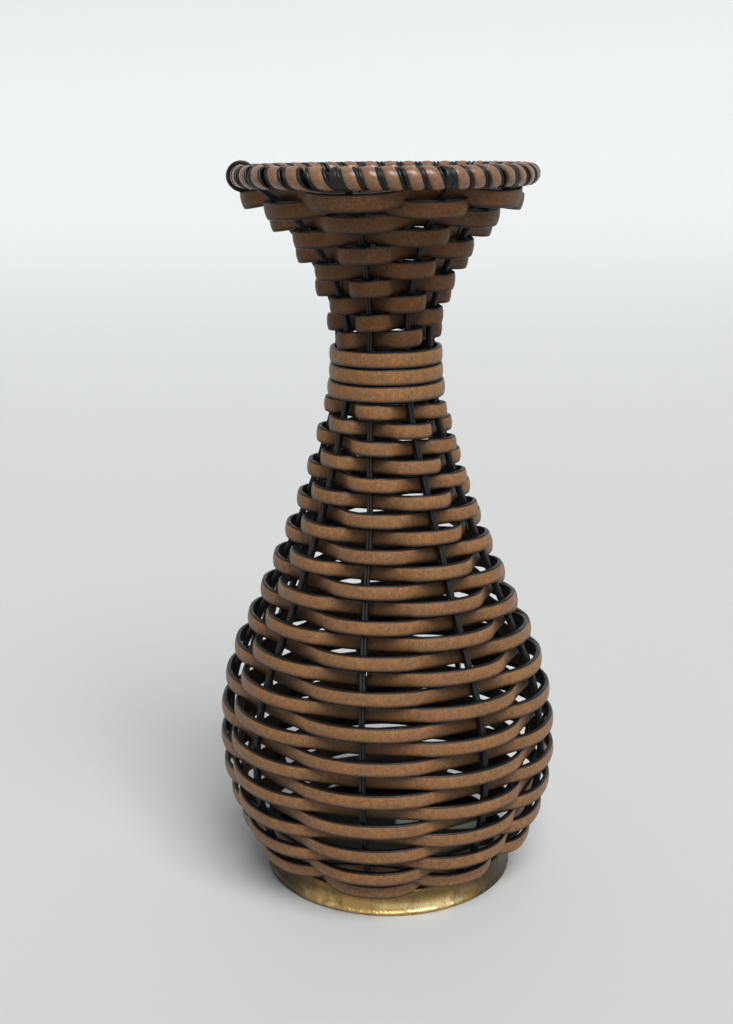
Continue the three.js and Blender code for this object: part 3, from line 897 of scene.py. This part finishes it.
def make_stakes():
    for stake in range(STAKE_TOTAL):
        path = stake_path(stake == LOOSE_LOOP_STAKE)
        radius, height = path.T
        rise = np.gradient(path, axis=0)
        rise /= np.linalg.norm(rise, axis=1, keepdims=True)
        mouth_slimming = MOUTH_STAKE_WIDTH / STAKE_WIDTH - 1
        slim = smoothstep(height, SLIM_FROM_SHARE * NECK_HEIGHT, NECK_HEIGHT) * mouth_slimming
        loop_start = len(path) - LOOP_STEPS * len(LOOP_DEGREES)
        flat = smoothstep(np.arange(len(path)), loop_start, loop_start + FLATTENING_STATIONS)
        loop_width = FRONT_LOOP_WIDTHS.get(stake, LOOP_WIDTH)
        widths = (1 + slim) * (1 - flat) + flat * loop_width / STAKE_WIDTH
        depths = 1 + flat * (LOOP_DEPTH / STAKE_DEPTH - 1)
        turn = stake_turn(stake, height) + flat * FRONT_LOOP_DRIFTS.get(stake, 0)
        middles = place(radius, turn, height)
        outs = place(rise[:, 1], turn, -rise[:, 0])
        sides = place(np.ones_like(turn), turn + math.pi / 2, 0 * turn)
        stations = middles, -sides, outs
        node = f"stake_{stake + 1}"
        piece = sweep(node + "_rib", stations, STAKE_PARTS, [STAKE], scales=(widths, depths))
        finish_piece(piece, node)


def make_lashing():
    """One strip wound round the rim, closed on itself."""
    wraps = round(FULL_TURN * RIM_RADIUS / (STRIP_WIDTH + LASHING_GAP))
    count = np.arange(wraps * STATIONS_PER_WRAP) / STATIONS_PER_WRAP
    wrapped = np.where(count > WRAP_DRIFT[-1][0], count - wraps, count)
    drift = np.interp(wrapped, *zip(*WRAP_DRIFT))
    turn = LASHING_START_TURN + FULL_TURN * count / wraps + np.radians(drift)
    angle = -FULL_TURN * count
    middle_radius = HOOP_THICKNESS / 2 + CLEARANCE + STRIP_THICKNESS / 2
    outs = place(np.cos(angle), turn, np.sin(angle))
    middles = place(RIM_RADIUS + 0 * turn, turn, RIM_HEIGHT + 0 * turn) + outs * middle_radius
    along = np.roll(middles, -1, axis=0) - np.roll(middles, 1, axis=0)
    across = np.cross(outs, along)
    across /= np.linalg.norm(across, axis=1, keepdims=True)
    stations = middles, across, outs
    materials = [LASHING_FACE, EDGE, BACK]
    piece = sweep("rim_lashing_strip", stations, LASHING_PARTS, materials, closed=True)
    finish_piece(piece, "rim_lashing")


def make_hoop():
    """The black core that shows between the wraps."""
    turns = np.linspace(0, FULL_TURN, RING_STATIONS, endpoint=False)
    stations = place(RIM_RADIUS, turns, RIM_HEIGHT), place(0, turns, 1), place(1, turns, 0)
    piece = sweep("rim_hoop_core", stations, HOOP_PARTS, [HOOP], closed=True)
    finish_piece(piece, "rim_hoop")


def make_foot_ring():
    """Hand-beaten band with a rolled lip below. It stands a little higher all round than under
    the lowest front pass of the strip."""
    insets, rises = np.array(FOOT_RING_SHARES).T
    on_outside = insets < FOOT_RING_OUTER_SHARE
    vertices = []
    for turn in np.linspace(math.pi, -math.pi, RING_STATIONS, endpoint=False):
        uneven = sum(size * math.sin(waves * turn + start) for size, waves, start in FOOT_RING_SWAYS)
        dip = math.exp(-((turn - FRONT_STAKE_TURN) / FOOT_RING_DIP_TURN) ** 2)
        height = FOOT_RING_HEIGHT + FOOT_RING_RISE * (1 - dip) + uneven
        sway = RADIUS_SWAY_SHARE * uneven * on_outside
        radii = FOOT_RING_RADIUS - insets * FOOT_RING_WALL + sway
        heights = np.maximum(0, rises * height)
        vertices += place(radii, np.full(len(radii), turn), heights).tolist()
    corners = len(insets)
    faces = tube_faces(RING_STATIONS, corners, closed=True)
    kinds = [0] * (corners - FOOT_RING_INNER_SIDES) + [1] * FOOT_RING_INNER_SIDES
    materials = [GOLD_LEAF, RING_INSIDE]
    piece = add_mesh("foot_ring_band", vertices, faces, materials, kinds * RING_STATIONS)
    finish_piece(piece, "foot_ring")


def dress_nodes():
    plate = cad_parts["base_plate"]
    plate.data.materials.clear()
    plate.data.materials.append(PLATE)


def make_floor():
    """A floor that curves up far behind into a plain backdrop."""
    profile = [(-FLOOR_HALF, 0)]
    for degrees in range(0, 91, 5):
        angle = math.radians(degrees)
        depth = BACKDROP_DEPTH + BACKDROP_BEND * math.sin(angle)
        profile.append((depth, BACKDROP_BEND * (1 - math.cos(angle))))
    profile.append((BACKDROP_DEPTH + BACKDROP_BEND, BACKDROP_TOP))
    vertices = [(side * FLOOR_HALF, depth, height) for depth, height in profile for side in (-1, 1)]
    faces = [(2 * i, 2 * i + 1, 2 * i + 3, 2 * i + 2) for i in range(len(profile) - 1)]
    floor = add_mesh("floor", vertices, faces, [floor_material()], [0] * len(faces))


def make_lamp():
    light = bpy.data.lights.new("key_light", "SUN")
    light.angle = LAMP_SPREAD
    light.energy = LAMP_POWER
    lamp = bpy.data.objects.new("key_light", light)
    lamp.rotation_euler = (math.pi / 2 - LAMP_ELEVATION, 0, LAMP_AZIMUTH)
    bpy.context.scene.collection.objects.link(lamp)


def make_sky():
    """A faint sky as light. Seen directly, in a reflection or through glass, it has the
    backdrop's colour."""
    world = bpy.data.worlds.new("studio")
    world.use_nodes = True
    nodes, links = world.node_tree.nodes, world.node_tree.links
    spot = nodes.new("ShaderNodeTexCoord")
    split = nodes.new("ShaderNodeSeparateXYZ")
    strength = nodes.new("ShaderNodeMapRange")
    set_range(strength, 0, 1, SKY_LOW, SKY_HIGH)
    sky = nodes["Background"]
    sky.inputs["Color"].default_value = SKY_COLOUR
    seen = nodes.new("ShaderNodeBackground")
    seen.inputs["Color"].default_value = linear(BACKDROP_PALE)
    links.new(spot.outputs["Generated"], split.inputs["Vector"])
    links.new(split.outputs["Z"], strength.inputs["Value"])
    links.new(strength.outputs["Result"], sky.inputs["Strength"])
    path = nodes.new("ShaderNodeLightPath")
    choice = nodes.new("ShaderNodeMixShader")
    share = path.outputs["Is Camera Ray"]
    for ray in ("Is Glossy Ray", "Is Transmission Ray"):
        either = nodes.new("ShaderNodeMath")
        either.operation = "MAXIMUM"
        links.new(share, either.inputs[0])
        links.new(path.outputs[ray], either.inputs[1])
        share = either.outputs["Value"]
    links.new(share, choice.inputs["Fac"])
    links.new(sky.outputs["Background"], choice.inputs[1])
    links.new(seen.outputs["Background"], choice.inputs[2])
    links.new(choice.outputs["Shader"], nodes["World Output"].inputs["Surface"])
    bpy.context.scene.world = world


def make_camera():
    data = bpy.data.cameras.new("camera")
    data.sensor_width = CAMERA_SENSOR
    data.lens = CAMERA_LENS
    data.clip_start = 10 * MM
    camera = bpy.data.objects.new("camera", data)
    camera.location = CAMERA_PLACE
    turned = Matrix.Rotation(math.pi / 2 - CAMERA_PITCH, 4, "X") @ Matrix.Rotation(CAMERA_ROLL, 4, "Z")
    camera.rotation_euler = turned.to_euler()
    bpy.context.scene.collection.objects.link(camera)
    bpy.context.scene.camera = camera


bpy.context.scene.view_settings.view_transform = "Standard"
make_camera()
make_body_strips()
make_mouth_strips()
make_neck_bands()
make_stakes()
make_hoop()
make_lashing()
make_foot_ring()
dress_nodes()
make_floor()
make_lamp()
make_sky()
